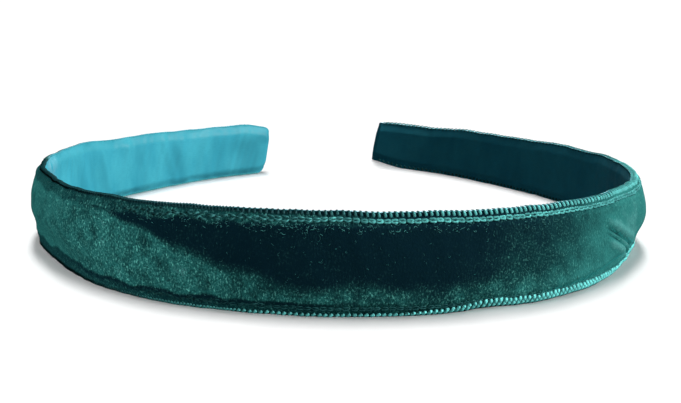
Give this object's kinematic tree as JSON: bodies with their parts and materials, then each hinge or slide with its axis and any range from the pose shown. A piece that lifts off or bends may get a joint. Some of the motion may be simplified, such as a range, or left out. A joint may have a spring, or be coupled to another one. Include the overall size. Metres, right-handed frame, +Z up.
{
  "type": "covered headband",
  "caption": "Springy C-shaped hair band: a plastic core between a velvet ribbon and a satin lining, stitched along both edges, whose arms spread to grip the head.",
  "frame": {"origin": "centre of the band's outline in plan, on the surface that its lower edge rests on", "axes": "+Z up, across the band's width; -Y towards the crown; +Y towards the two tips; X from arm to arm"},
  "size_m": [0.144, 0.1458, 0.0221],
  "materials": {
    "core_plastic": "matt black moulded strip",
    "adhesive": "clear amber film",
    "velvet": "deep teal cut-pile velvet",
    "satin": "turquoise satin with a soft sheen",
    "edge_thread": "glossy teal twisted thread"
  },
  "bodies": {
    "crown": {"crown_core": "core_plastic", "crown_outer_adhesive": "adhesive", "crown_inner_adhesive": "adhesive", "crown_velvet": "velvet", "crown_lining": "satin", "crown_top_stitching": "edge_thread", "crown_bottom_stitching": "edge_thread"},
    "left_arm": {"left_arm_core": "core_plastic", "left_arm_outer_adhesive": "adhesive", "left_arm_inner_adhesive": "adhesive", "left_arm_velvet": "velvet", "left_arm_lining": "satin", "left_arm_top_stitching": "edge_thread", "left_arm_bottom_stitching": "edge_thread"},
    "right_arm": {"right_arm_core": "core_plastic", "right_arm_outer_adhesive": "adhesive", "right_arm_inner_adhesive": "adhesive", "right_arm_velvet": "velvet", "right_arm_lining": "satin", "right_arm_top_stitching": "edge_thread", "right_arm_bottom_stitching": "edge_thread"}
  },
  "joints": [
    {"name": "left_arm_flex", "type": "hinge", "parent": "crown", "child": "left_arm", "pos_m": [-0.04707, -0.05461, 0.011], "axis": [0, 0, 1], "range_deg": [-5, 20], "stiffness_Nm_per_rad": 0.7},
    {"name": "right_arm_flex", "type": "hinge", "parent": "crown", "child": "right_arm", "pos_m": [0.04707, -0.05461, 0.011], "axis": [0, 0, -1], "range_deg": [-5, 20], "stiffness_Nm_per_rad": 0.7}
  ]
}
